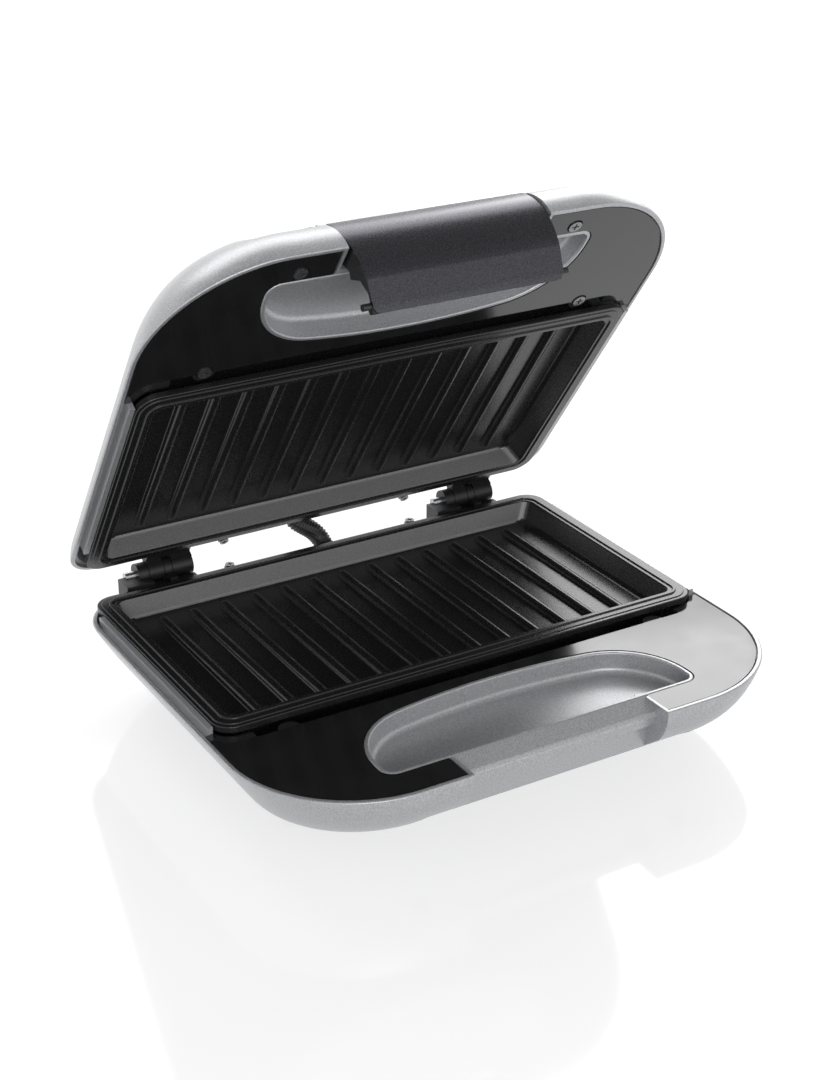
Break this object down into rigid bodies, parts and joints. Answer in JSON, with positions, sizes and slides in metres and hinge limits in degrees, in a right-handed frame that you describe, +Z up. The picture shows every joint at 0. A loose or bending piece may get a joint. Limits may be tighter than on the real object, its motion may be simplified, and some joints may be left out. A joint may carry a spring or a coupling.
{
  "type": "sandwich toaster",
  "caption": "Countertop sandwich toaster with a hinged lid held open, two ribbed non-stick plates, silver shells with a black inner frame and a curved snap latch at the front.",
  "frame": {"origin": "on the table under the middle of the outline, with the lid open as stored", "axes": "+Z up; -Y towards the user and the latch, +Y towards the hinges; +X to the user's right"},
  "size_m": [0.232, 0.2248, 0.2131],
  "materials": {
    "silver_paint": "satin metallic paint on moulded plastic",
    "gloss_black_plastic": "polished",
    "non_stick_coating": "satin non-stick coating on cast aluminium",
    "heater_sheath": "oxidised",
    "zinc_steel": "bright zinc",
    "dark_screw": "blackened",
    "white_ceramic": "matte",
    "black_rubber": "matte",
    "matte_black_plastic": "fine texture",
    "braided_sleeve": "braided",
    "red_lens": "tinted",
    "green_lens": "tinted",
    "lamp_glass": "clear",
    "dark_metal_cover": "satin metallic"
  },
  "bodies": {
    "base": {"lower_shell": "silver_paint", "lower_deck": "gloss_black_plastic", "lower_plate": "non_stick_coating", "lower_heating_element": "heater_sheath", "lower_element_clips": "zinc_steel", "lower_clip_screws": "zinc_steel", "lower_heat_shield": "zinc_steel", "lower_shield_screws": "zinc_steel", "lower_thermostat": "white_ceramic", "lower_plate_screws": "dark_screw", "lower_deck_screws": "zinc_steel", "thermal_fuse": "zinc_steel", "terminal_block": "white_ceramic", "cord_inlet": "black_rubber", "rubber_feet": "black_rubber", "hinge_bracket_left": "matte_black_plastic", "hinge_bracket_right": "matte_black_plastic", "hinge_pin_left": "zinc_steel", "hinge_pin_right": "zinc_steel", "wire_sleeve": "braided_sleeve"},
    "lid": {"upper_shell": "silver_paint", "upper_deck": "gloss_black_plastic", "upper_plate": "non_stick_coating", "upper_heating_element": "heater_sheath", "upper_element_clips": "zinc_steel", "upper_clip_screws": "zinc_steel", "upper_heat_shield": "zinc_steel", "upper_shield_screws": "zinc_steel", "upper_thermostat": "white_ceramic", "upper_plate_screws": "dark_screw", "upper_deck_screws": "dark_screw", "hinge_knuckle_left": "matte_black_plastic", "hinge_knuckle_right": "matte_black_plastic", "power_lens": "red_lens", "ready_lens": "green_lens", "power_lamp": "lamp_glass", "ready_lamp": "lamp_glass", "latch_pins": "zinc_steel"},
    "latch": {"latch_cover": "dark_metal_cover", "latch_frame": "matte_black_plastic"}
  },
  "joints": [
    {"name": "lid_hinge", "type": "hinge", "parent": "base", "child": "lid", "pos_m": [0, 0.09058, 0.04225], "axis": [1, 0, 0], "range_deg": [-41, 54], "deforming": ["wire_sleeve"]},
    {"name": "latch_pivot", "type": "hinge", "parent": "lid", "child": "latch", "pos_m": [0, -0.00901, 0.20783], "axis": [-1, 0, 0], "range_deg": [0, 20]}
  ]
}
